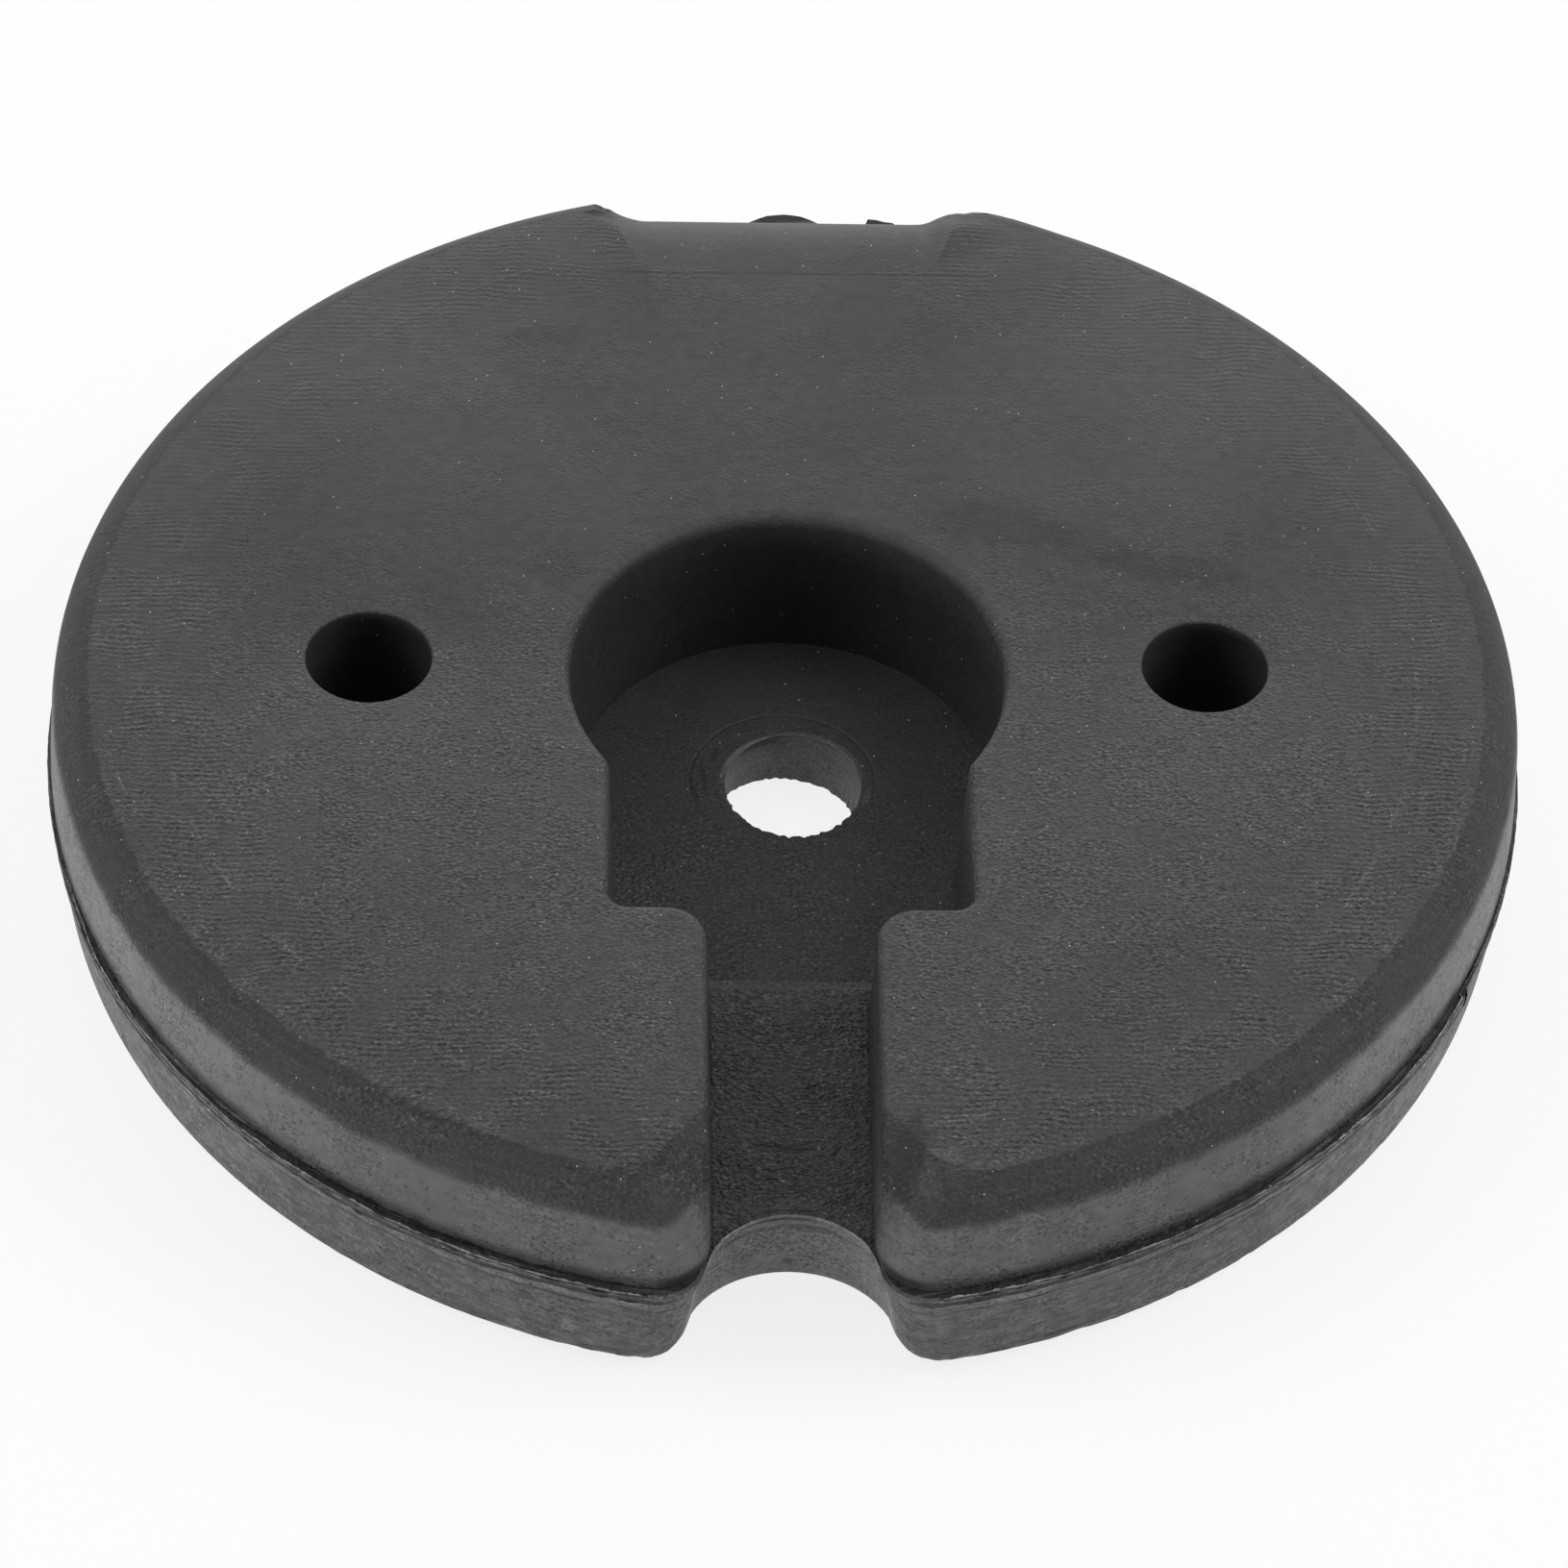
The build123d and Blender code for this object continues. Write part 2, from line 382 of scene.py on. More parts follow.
def set_lower_half(disc, settings):
    """Sets the lower half a little forward of the upper one, as the mould did, and trims its sides."""
    for vertex in disc.data.vertices:
        point = vertex.co / MM
        if point.z > PARTING + 0.01:
            continue
        radius = math.hypot(point.x, point.y)
        from_notch = math.hypot(point.x, point.y - NOTCH_MIDDLE)
        on_ledge = point.z > PARTING - 0.01
        if from_notch < (6.9 if on_ledge else 8.6 if point.z > 2.6 else 11.5):
            vertex.co.y += settings.notch_setback * ramp(point.y, -56, -52)
        if radius > (WALL_FOOT_RADIUS + 0.05 if on_ledge else 53):
            turn = math.degrees(math.atan2(abs(point.x), -point.y))
            flash_line = max(radius - PARTING_RADIUS, 0)
            trim = settings.side_trim * ramp(turn, 45, 80)
            if point.x > 0:
                trim += flash_line * MM * ramp(turn, 63.4, 64.2)
            else:
                trim += flash_line * MM * ramp(turn, 62, 80)
            keep = 1 - ramp(16 - abs(point.x), 0, 2) * (point.y > 0)
            factor = 1 - trim * keep / (radius * MM)
            vertex.co.x *= factor
            vertex.co.y *= factor
            vertex.co.y -= settings.half_offset * (1 - 0.5 * ramp(point.z, 3, 9)) * (1 if point.y < 0 else keep)
            if radius > LIP_RADIUS - 0.2 and point.y > 0:
                vertex.co.y += settings.back_flash * ramp(16 - abs(point.x), 0, 2)


def refine_relief(disc):
    """Divides the long strips of the relief's roll so that it can be worn."""
    def on_roll(point):
        return point.y > 44.2 and abs(point.x) < 16 and point.z > PARTING - 0.01

    for cuts, longest in ((7, 8.0), (3, 2.0)):
        select_edges(disc, lambda a, b: on_roll(a) and on_roll(b) and (a - b).length > longest)
        bpy.ops.mesh.subdivide(number_cuts=cuts)
    bpy.ops.object.mode_set(mode="OBJECT")


def soften_relief(disc):
    """Fills out the worn relief at the back: a straight left slope, a fuller roll and a rounded right end."""
    for vertex in disc.data.vertices:
        point = vertex.co / MM
        if point.y < 44.5 or abs(point.x) > 23 or point.z < PARTING + 0.01:
            continue
        rise = 0.0
        for (x_from, from_rise), (x_to, to_rise) in zip(RELIEF_PROFILE, RELIEF_PROFILE[1:]):
            if x_from <= point.x < x_to:
                rise = from_rise + (to_rise - from_rise) * (point.x - x_from) / (x_to - x_from)
        rise *= ramp(point.y, 44.5, 51) * MM
        vertex.co.y += 0.68 * rise
        vertex.co.z += 0.73 * rise

    def by_end(point):
        from_end = min(abs(point.x + 13.4), abs(point.x - 14.2))
        return from_end < 1.6 and point.y > 46 and PARTING + 0.3 < point.z < TOP - 0.05

    select_edges(disc, lambda a, b: by_end(a) and by_end(b))
    bpy.ops.mesh.vertices_smooth(factor=0.5, repeat=4)
    bpy.ops.object.mode_set(mode="OBJECT")


def tear_edges(disc, settings, lip):
    """Makes the flash lip wander, pulls out its two torn tabs at the back and chips the bottom edge."""
    for vertex in disc.data.vertices:
        point = vertex.co / MM
        radius = math.hypot(point.x, point.y)
        outward = Vector((point.x, point.y, 0)).normalized()
        if vertex.index in lip:
            wander = noise.fractal(point * 1.1, 0.6, 2.0, 3)
            tab = torn_tab(point)
            calm = 1 - 0.7 * ramp(abs(point.x), 32, 48)
            vertex.co += outward * (settings.lip_raggedness * wander * calm + tab * MM)
            vertex.co.z += 0.95 * tab * MM
            if point.z < PARTING - 0.1:
                sag = 1 + 0.7 * noise.fractal(point * 0.8 + Vector((9, 4, 2)), 0.6, 2.0, 3)
                vertex.co.z -= settings.lip_thickening * max(sag, 0)
        elif radius > 53 and point.z < 2.5:
            chip = noise.fractal(point * 0.7 + Vector((3, 7, 1)), 0.7, 2.1, 4)
            calm = 1 - ramp(abs(point.x), 30, 45)
            vertex.co -= outward * settings.foot_raggedness * calm * max(chip, -0.4)


def sink_parting(disc, settings):
    """Lowers the ledge, the flash lip and the channel floor to where the mould halves met on this piece."""
    for vertex in disc.data.vertices:
        if LIP_UNDERSIDE - 0.75 < vertex.co.z / MM < PARTING + 0.02:
            vertex.co.z -= settings.parting_sink


def torn_tab(point):
    """How far, in mm, the torn flash tabs behind the relief stand out at this point of the lip."""
    if point.y < 0:
        return 0
    crescent = max(0, 1 - abs(point.x - 0.7) / 5.2)
    slab = min(max(0, min(point.x - 7.1, 10.4 - point.x) / 0.4), 1)
    return 1.1 * math.sin(crescent * math.pi / 2) ** 1.3 + 1.12 * slab


def refine_pipe_hole(disc):
    """Divides the pipe hole's wall so that its rims can be torn."""
    def on_wall(point):
        return abs(math.hypot(point.x, point.y) - PIPE_HOLE_RADIUS) < 0.01

    select_edges(disc, lambda a, b: on_wall(a) and on_wall(b))
    bpy.ops.object.mode_set(mode="OBJECT")
    old_count = len(disc.data.vertices)
    bpy.ops.object.mode_set(mode="EDIT")
    bpy.ops.mesh.subdivide(number_cuts=3)
    bpy.ops.object.mode_set(mode="OBJECT")
    for vertex in disc.data.vertices[old_count:]:
        true_size = PIPE_HOLE_RADIUS * MM / math.hypot(vertex.co.x, vertex.co.y)
        vertex.co.x *= true_size
        vertex.co.y *= true_size


def tear_pipe_hole(disc, settings):
    """Leaves nibs on the front of the upper rim, an undercut tear at its upper left and a ragged lower rim."""
    for vertex in disc.data.vertices:
        point = vertex.co / MM
        if abs(math.hypot(point.x, point.y) - PIPE_HOLE_RADIUS) > 0.01:
            continue
        inward = -Vector((point.x, point.y, 0)).normalized()
        angle = math.degrees(math.atan2(point.y, point.x))
        tear = max(0, 1 - ((angle - 125) / 48) ** 2)
        ragged = noise.fractal(Vector((point.x, point.y, 0)) * 1.6, 0.6, 2.0, 4)
        if point.z > POCKET_FLOOR - 0.1:
            front = min(max(0.25 - point.y / 5, 0.2), 1)
            vertex.co += inward * (settings.hole_raggedness * (0.6 * front + ragged * front) + 0.15 * tear * MM)
        elif point.z > 4:
            vertex.co.z = 4.95 * MM
            vertex.co -= inward * 0.3 * tear * MM
        elif point.z < 0.1:
            vertex.co += inward * settings.hole_raggedness * 0.6 * (ragged + 0.3)
        up = point.z / POCKET_FLOOR
        vertex.co.x += 0.4 * settings.rim_shift * (1 - up) * ramp(point.x, 0, 5)
        vertex.co += Vector((settings.rim_shift - 0.053 * vertex.co.x, -0.45 * settings.rim_shift, 0)) * up


def add_fin(context, disc, settings):
    """Spins the torn flash fin that stands on the lip and joins it to the disc."""
    bpy.ops.object.select_all(action="DESELECT")
    bpy.ops.mesh.primitive_plane_add(size=1)
    fin = context.object
    thickness = settings.fin_thickness
    level = PARTING * MM - settings.parting_sink
    section = (
        (57.58 * MM, level - 0.05 * MM),
        (57.58 * MM + thickness, level - 0.05 * MM),
        (57.66 * MM, level + settings.fin_height),
        (57.66 * MM + thickness, level + settings.fin_height),
    )
    mouth_angle = math.radians(10.3)
    for vertex, (radius, height) in zip(fin.data.vertices, section):
        vertex.co = Vector((-radius * math.sin(mouth_angle), -radius * math.cos(mouth_angle), height))
    bpy.ops.object.mode_set(mode="EDIT")
    bpy.ops.mesh.select_all(action="SELECT")
    bpy.ops.mesh.spin(
        steps=1200, angle=2 * math.pi - 2 * mouth_angle, center=(0, 0, 0), axis=(0, 0, 1)
    )
    bpy.ops.mesh.select_all(action="SELECT")
    bpy.ops.mesh.remove_doubles(threshold=0.002 * MM)
    bpy.ops.mesh.normals_make_consistent(inside=False)
    bpy.ops.object.mode_set(mode="OBJECT")
    for vertex in fin.data.vertices:
        point = vertex.co / MM
        outward = Vector((point.x, point.y, 0)).normalized()
        turn = math.degrees(math.atan2(abs(point.x), -point.y))
        shallow = 1 - (ramp(turn, 63.0, 63.4) if point.x > 0 else ramp(turn, 62, 80))
        vertex.co.y -= 0.5 * settings.half_offset
        vertex.co -= outward * settings.side_trim * ramp(turn, 45, 80)
        vertex.co -= outward * 0.6 * MM * (1 - shallow)
        wave = noise.fractal(Vector((point.x, point.y, 0)) * 1.6, 0.7, 2.0, 4)
        vertex.co += outward * 0.1 * MM * noise.noise(Vector((point.x, point.y, 5)) * 0.5)
        if vertex.co.z > level:
            nib = ramp(turn, 61.4, 62.4) if point.x > 0 else 0
            torn = 1 + 1.3 * wave + nib
            rise = settings.fin_height * (shallow * ramp(turn, 10.2, 11.5) * max(torn, 0.45) - 1)
            vertex.co.z += rise
            vertex.co += outward * 0.08 * MM * wave
    disc.select_set(True)
    context.view_layer.objects.active = disc
    bpy.ops.object.join()


def band(tree, value, low, high, blur):
    """1 where a length lies between low and high, fading over the blur to either side."""
    rise = add_node(
        tree, "ShaderNodeMapRange", {"Value": value, "From Min": low - blur, "From Max": low + blur},
        interpolation_type="SMOOTHSTEP",
    )
    fall = add_node(
        tree, "ShaderNodeMapRange",
        {"Value": value, "From Min": high - blur, "From Max": high + blur, "To Min": 1.0, "To Max": 0.0},
        interpolation_type="SMOOTHSTEP",
    )
    return add_node(tree, "ShaderNodeMath", {0: rise.outputs[0], 1: fall.outputs[0]}, operation="MULTIPLY").outputs[0]


def both(tree, first, second):
    """1 where both masks are 1."""
    return add_node(tree, "ShaderNodeMath", {0: first, 1: second}, operation="MULTIPLY").outputs[0]


def shade(tree, tone, mask, factor):
    """The tone, times this factor where the mask is 1."""
    change = add_node(tree, "ShaderNodeMath", {0: mask, 1: factor - 1, 2: 1.0}, operation="MULTIPLY_ADD")
    return add_node(tree, "ShaderNodeMath", {0: tone, 1: change.outputs[0]}, operation="MULTIPLY").outputs[0]


def lift(tree, height, mask, amount):
    """The height in mm, with this amount more where the mask is 1."""
    return add_node(tree, "ShaderNodeMath", {0: mask, 1: amount, 2: height}, operation="MULTIPLY_ADD").outputs[0]


def cloud(tree, place, stretch, detail, low, high):
    """Uneven patches from 0 to 1, as many to the millimetre as the stretch says along each axis."""
    stretched = add_node(tree, "ShaderNodeVectorMath", {0: place, 1: stretch}, operation="MULTIPLY")
    patches = add_node(
        tree, "ShaderNodeTexNoise", {"Vector": stretched.outputs[0], "Scale": 1.0, "Detail": detail}
    )
    return add_node(
        tree, "ShaderNodeMapRange", {"Value": patches.outputs["Fac"], "From Min": low, "From Max": high}
    ).outputs[0]


def specks(tree, place, stretch, size, share, turn=0.0):
    """Round or drawn-out specks: the stretch sets how many to the mm, the share how many cells have one."""
    turned = add_node(tree, "ShaderNodeMapping", {"Vector": place, "Rotation": (0, 0, turn), "Scale": stretch})
    cells = add_node(tree, "ShaderNodeTexVoronoi", {"Vector": turned.outputs[0], "Scale": 1.0})
    dot = add_node(
        tree, "ShaderNodeMapRange",
        {"Value": cells.outputs["Distance"], "From Min": 0.5 * size, "From Max": size, "To Min": 1.0, "To Max": 0.0},
    )
    chance = add_node(tree, "ShaderNodeSeparateColor", {"Color": cells.outputs["Color"]})
    chosen = add_node(tree, "ShaderNodeMath", {0: chance.outputs[0], 1: share}, operation="LESS_THAN")
    return both(tree, dot.outputs[0], chosen.outputs[0])


def patch(tree, place, middle, size, turn=0.0, edge=0.6):
    """A soft oval, 1 inside and 0 at its outline, with its middle and half sizes in mm."""
    settled = add_node(
        tree, "ShaderNodeMapping", {"Vector": place, "Location": middle, "Rotation": (0, 0, turn), "Scale": size},
        vector_type="TEXTURE",
    )
    reach = add_node(tree, "ShaderNodeVectorMath", {0: settled.outputs[0]}, operation="LENGTH")
    return add_node(
        tree, "ShaderNodeMapRange",
        {"Value": reach.outputs["Value"], "From Min": 1 - edge, "From Max": 1.0, "To Min": 1.0, "To Max": 0.0},
        interpolation_type="SMOOTHSTEP",
    ).outputs[0]


def past_crease(tree, place, radius):
    """1 past the crease where the top face rolls over, round the rim and, with a rounded turn, into the mouth."""
    turn_radius = 3.0
    out = add_node(tree, "ShaderNodeMath", {0: radius, 1: turn_radius - CREASE_RADIUS}, operation="ADD")
    inwards = add_node(tree, "ShaderNodeVectorMath", {0: place, 1: (1, 0, 0)}, operation="MULTIPLY")
    aside = add_node(tree, "ShaderNodeVectorMath", {0: inwards.outputs[0]}, operation="LENGTH").outputs["Value"]
    ahead = add_node(tree, "ShaderNodeVectorMath", {0: place, 1: (0, -0.588, 0)}, operation="DOT_PRODUCT")
    slant = add_node(
        tree, "ShaderNodeMath", {0: aside, 1: -0.809, 2: ahead.outputs["Value"]}, operation="MULTIPLY_ADD"
    )
    past_ease = add_node(tree, "ShaderNodeMath", {0: slant.outputs[0], 1: turn_radius - 21.63}, operation="ADD")
    both_ways = add_node(tree, "ShaderNodeCombineXYZ", {0: out.outputs[0], 1: past_ease.outputs[0]})
    ahead_only = add_node(
        tree, "ShaderNodeVectorMath", {0: both_ways.outputs[0], 1: (0, 0, 0)}, operation="MAXIMUM"
    )
    reach = add_node(tree, "ShaderNodeVectorMath", {0: ahead_only.outputs[0]}, operation="LENGTH")
    return band(tree, reach.outputs["Value"], turn_radius, 999.0, 0.12)


def moulded_rubber(settings):
    """Matt dark grey mineral-filled rubber, with painted light on its walls and painted shade in its hollows, and with
    pits, dust and mould marks.
    """
    material = bpy.data.materials.new("moulded_mineral_rubber")
    material.use_nodes = True
    tree = material.node_tree
    tree.nodes.clear()
    coords = add_node(tree, "ShaderNodeTexCoord")
    place = add_node(
        tree, "ShaderNodeVectorMath", {0: coords.outputs["Object"], "Scale": 1 / MM}, operation="SCALE"
    ).outputs[0]
    axes = add_node(tree, "ShaderNodeSeparateXYZ", {0: place})
    along, height = axes.outputs["Y"], axes.outputs["Z"]
    flat_place = add_node(tree, "ShaderNodeVectorMath", {0: place, 1: (1, 1, 0)}, operation="MULTIPLY").outputs[0]
    radius = add_node(tree, "ShaderNodeVectorMath", {0: flat_place}, operation="LENGTH").outputs["Value"]
    drawn = add_node(tree, "ShaderNodeCombineXYZ", {0: radius, 1: height})
    drawn = add_node(
        tree, "ShaderNodeVectorMath", {0: place, 1: (0.06, 0.06, 0.06), 2: drawn.outputs[0]}, operation="MULTIPLY_ADD"
    ).outputs[0]
    low_place = add_node(tree, "ShaderNodeVectorMath", {0: flat_place, 1: (0, 0.15, 0)}, operation="ADD").outputs[0]
    low_radius = add_node(tree, "ShaderNodeVectorMath", {0: low_place}, operation="LENGTH").outputs["Value"]
    folded = add_node(tree, "ShaderNodeVectorMath", {0: flat_place}, operation="ABSOLUTE").outputs[0]
    aside = add_node(tree, "ShaderNodeSeparateXYZ", {0: folded}).outputs["X"]

    # Zones of the disc
    wander = cloud(tree, place, (0.4, 0.4, 0.4), 1.0, 0.3, 0.7)
    wavy_height = lift(tree, height, wander, 0.35)
    near_rim = band(tree, radius, 53.4, 99.0, 0.8)
    level = PARTING - settings.parting_sink / MM
    upper_wall = both(tree, near_rim, band(tree, wavy_height, level + 0.2, 16.3, 0.5))
    lower_wall = both(tree, near_rim, band(tree, height, 0.2, level + 0.01, 0.02))
    top_face = both(tree, band(tree, height, 18.87, 20.0, 0.01), band(tree, radius, 0.0, 53.9, 0.1))
    ragged = cloud(tree, place, (0.9, 0.9, 0.9), 1.0, 0.0, 1.0)
    worn_radius = lift(tree, lift(tree, radius, ragged, 0.9), 1.0, -0.45)
    rolled_edge = both(tree, past_crease(tree, place, worn_radius), band(tree, wavy_height, 16.5, 30.0, 0.5))
    notch = patch(tree, flat_place, (0, NOTCH_MIDDLE, 0), (9.2, 9.2, 1), edge=0.03)
    notch = both(tree, notch, band(tree, height, -1.0, level - 0.03, 0.02))
    notch = both(tree, notch, band(tree, radius, 40.0, 54.0, 0.9))
    hole_wall = both(tree, band(tree, radius, 0.0, 6.2, 0.2), band(tree, height, -1.0, 5.4, 0.06))
    pocket_plan = both(tree, band(tree, radius, 5.0, 29.0, 0.1), band(tree, aside, -1.0, 18.0, 0.1))
    pocket = both(tree, pocket_plan, band(tree, height, 5.0, 17.8, 0.2))
    pocket = both(tree, pocket, band(tree, along, -25.8, 20.0, 0.05))
    channel = both(tree, band(tree, aside, -1.0, 6.8, 0.1), band(tree, height, level - 0.02, 18.0, 0.02))
    channel = both(tree, channel, band(tree, along, -52.0, -26.0, 0.2))
    side_hole = patch(tree, folded, (SIDE_HOLE_PLACES[1], 0, 0), (5.3, 5.3, 1), edge=0.02)
    side_hole = both(tree, side_hole, band(tree, height, 4.0, 18.6, 0.1))
    relief_zone = both(tree, band(tree, along, 44.3, 70.0, 0.1), band(tree, aside, -1.0, 13.5, 2.0))
    relief_zone = both(tree, relief_zone, band(tree, height, 8.0, 18.88, 0.01))

    # Painted light: the rim's sides are painted paler still, where the white table lights them
    painted_side_light = both(tree, both(tree, near_rim, band(tree, aside, 42.0, 99.0, 12.0)), band(tree, height, 0.0, 16.0, 0.6))
    # Painted light: the upper and lower walls are painted paler, as the white table below lights them
    tone = shade(tree, 0.86, upper_wall, 2.3)
    tone = shade(tree, tone, lower_wall, 3.1)
    tone = shade(tree, tone, painted_side_light, 1.8)
    # Painted shade: the band where the top edge rolls over, facing the camera, is painted darker
    tone = shade(tree, tone, rolled_edge, 0.6)
    # Painted light: the notch's walls are painted paler, as the white table lights them
    tone = shade(tree, tone, notch, 3.6)
    # Painted light: the pipe hole's wall is painted paler, as light comes up through the hole
    tone = shade(tree, tone, hole_wall, 3.6)
    # Painted highlight on the far rim of the pipe hole
    from_rim = add_node(tree, "ShaderNodeVectorMath", {0: flat_place, 1: (0.85, -0.38, 0)}, operation="DISTANCE")
    hole_rim = both(tree, band(tree, from_rim.outputs["Value"], 5.3, 5.8, 0.1), band(tree, height, 5.2, 5.6, 0.1))
    tone = shade(tree, tone, both(tree, hole_rim, band(tree, along, 1.0, 9.0, 1.5)), 2.6)
    # Painted shade: the pocket is painted darker, less so towards its front
    tone = shade(tree, tone, pocket, 0.56)
    tone = shade(tree, tone, both(tree, pocket, band(tree, along, -40.0, -9.0, 7.0)), 1.35)
    tone = shade(tree, tone, channel, 0.75)
    # Painted shade: the deep side holes are painted darker
    tone = shade(tree, tone, side_hole, 0.4)
    tone = shade(tree, tone, relief_zone, 0.86)

    band_core = both(tree, rolled_edge, band(tree, wavy_height, 17.7, 18.5, 0.2))

    # The parting: painted shade on the ledge inside the torn fin and on the lip, a painted highlight on the fin's torn
    # edge, a dark line of painted shade under the lip and a painted paler band below it
    ledge = both(tree, band(tree, radius, 51.0, 99.0, 0.3), band(tree, height, level - 0.04, level + 0.04, 0.01))
    ledge = both(tree, ledge, band(tree, aside, 5.4, 99.0, 0.5))
    ledge = both(tree, ledge, band(tree, low_radius, 0.0, 57.6, 0.05))
    corner_reach = add_node(
        tree, "ShaderNodeVectorMath", {0: folded, 1: (10.0, 53.3, 0)}, operation="DISTANCE"
    ).outputs["Value"]
    corner_lip = both(tree, band(tree, aside, -1.0, 10.7, 0.1), band(tree, along, -70.0, -53.3, 0.3))
    corner_lip = both(tree, corner_lip, band(tree, corner_reach, 3.3, 9.0, 0.05))
    ledge = shade(tree, ledge, corner_lip, 0.0)
    torn_bits = both(tree, ledge, cloud(tree, drawn, (2.6, 2.6, 2.6), 1.0, 0.56, 0.62))
    wall_foot = both(tree, upper_wall, band(tree, height, 9.0, level + 0.9, 0.5))
    wall_foot = both(tree, wall_foot, band(tree, radius, 50.0, 57.15, 0.05))
    fin_edge = both(tree, band(tree, radius, 57.2, 99.0, 0.03), band(tree, height, level + 0.1, level + 1.2, 0.04))
    under_lip = both(tree, lower_wall, band(tree, height, level - 1.12, level - 0.4, 0.05))
    lip_band = both(tree, lower_wall, band(tree, wavy_height, level - 1.75, level - 1.0, 0.1))
    low_sides = add_node(tree, "ShaderNodeMath", {0: lower_wall, 1: notch}, operation="MAXIMUM").outputs[0]
    lip_line = both(tree, low_sides, band(tree, wavy_height, level - 2.0, level - 1.8, 0.05))
    # Painted shade: the ledge in the parting groove is painted near black, except at the lip's corner by the mouth
    tone = shade(tree, tone, ledge, 0.14)
    tone = shade(tree, tone, torn_bits, 4.0)
    # Painted shade at the foot of the upper wall, above the groove
    tone = shade(tree, tone, wall_foot, 0.5)
    lip_side = both(tree, band(tree, radius, 57.4, 99.0, 0.05), band(tree, height, level - 0.8, level - 0.12, 0.06))
    tab_tip = both(tree, band(tree, along, 58.55, 70.0, 0.1), band(tree, height, level + 0.7, 12.5, 0.1))
    worn = cloud(tree, place, (0.25, 0.25, 0.25), 1.0, 0.4, 0.6)
    # Painted highlight on the fin's torn top edge, broken up by noise
    tone = shade(tree, tone, both(tree, fin_edge, lift(tree, 0.4, worn, 0.6)), 3.2)
    # Painted shade on the lip's side face
    tone = shade(tree, tone, lip_side, 0.3)
    # Painted shade: a dark line on the wall under the lip
    tone = shade(tree, tone, under_lip, 0.2)
    # Painted light: a paler band on the lower wall below the lip
    tone = shade(tree, tone, lip_band, 1.4)
    tone = shade(tree, tone, both(tree, lip_line, lift(tree, 0.3, worn, 0.7)), 0.3)
    # Painted shade: the tip of the torn tab at the back is painted darker
    tone = shade(tree, tone, tab_tip, 0.35)
    # The rolled band's painted shade, eased unevenly near its top
    tone = shade(tree, tone, both(tree, band_core, lift(tree, 0.3, worn, 0.7)), 1.25)
    channel_side = both(tree, band(tree, aside, 5.8, 6.4, 0.05), band(tree, height, level - 0.02, level + 0.2, 0.02))
    channel_side = both(tree, channel_side, band(tree, along, -55.0, -26.0, 0.2))
    # Painted shade where the channel floor meets its walls
    tone = shade(tree, tone, channel_side, 0.4)
    from_notch = add_node(
        tree, "ShaderNodeVectorMath", {0: flat_place, 1: (0, NOTCH_MIDDLE + settings.notch_setback / MM, 0)},
        operation="DISTANCE",
    ).outputs["Value"]
    on_channel = both(tree, band(tree, aside, -1.0, 5.7, 0.1), band(tree, height, level - 0.02, level + 0.2, 0.02))
    tone = shade(tree, tone, both(tree, on_channel, band(tree, from_notch, 7.0, 8.3, 0.2)), 1.3)
    gap = both(tree, notch, band(tree, height, level - 1.3, level - 0.6, 0.05))
    gap = both(tree, gap, band(tree, axes.outputs["X"], -3.2, 1.8, 1.2))
    # Painted shade in the gap under the overhanging channel end, in the notch
    tone = shade(tree, tone, gap, 0.12)
    notch_line = both(tree, notch, band(tree, wavy_height, level - 2.35, level - 2.1, 0.06))
    tone = shade(tree, tone, both(tree, notch_line, worn), 0.35)
    notch_lip = both(tree, band(tree, from_notch, 6.0, 6.95, 0.1), band(tree, height, level - 0.5, level - 0.03, 0.03))
    tone = shade(tree, tone, both(tree, both(tree, notch_lip, worn), band(tree, along, -52.0, -40.0, 1.0)), 2.2)
    mouth_foot = both(tree, band(tree, aside, 4.8, 9.6, 0.6), band(tree, height, level + 0.05, level + 0.75, 0.2))
    # Painted shade at the foot of the upper wall by the mouth corners
    tone = shade(tree, tone, both(tree, mouth_foot, band(tree, along, -60.0, -50.0, 0.8)), 0.3)
    notch_pit = patch(tree, place, (-0.1, -47.9, 3.0), (0.7, 2.0, 0.55))
    tone = shade(tree, tone, notch_pit, 0.3)
    arch_crack = both(tree, band(tree, from_notch, 6.95, 7.16, 0.04), band(tree, axes.outputs["X"], -2.6, 1.6, 0.5))
    tone = shade(tree, tone, both(tree, on_channel, arch_crack), 0.2)

    hole_tear = patch(tree, flat_place, (-3.0, 4.8, 0), (3.6, 2.4, 1), turn=math.radians(30), edge=0.3)
    hole_tear = both(tree, both(tree, hole_wall, hole_tear), band(tree, height, 4.1, 5.1, 0.15))
    # Painted shade in the undercut of the pipe hole's torn rim
    tone = shade(tree, tone, hole_tear, 0.35)

    for middle, size, factor in WALL_MARKS:
        tone = shade(tree, tone, patch(tree, place, middle, size, edge=0.5), factor)

    # Stains, rubbed patches and scratches where the disc shows them, with ragged outlines
    shifted = add_node(
        tree, "ShaderNodeVectorMath", {0: flat_place, 1: lift(tree, -1.4, ragged, 2.8)}, operation="ADD"
    ).outputs[0]
    above = band(tree, height, 5.4, 99.0, 0.1)
    for x, y, half_x, half_y, turn, factor in STAINS:
        stain = patch(tree, shifted, (x, y, 0), (half_x, half_y, 40), turn=math.radians(turn), edge=0.55)
        tone = shade(tree, tone, both(tree, stain, above), factor)
    for x, y, half_x, half_y, turn, factor in SCRATCHES:
        scratch = patch(tree, flat_place, (x, y, 0), (half_x, half_y, 40), turn=math.radians(turn), edge=0.35)
        tone = shade(tree, tone, both(tree, scratch, above), factor)

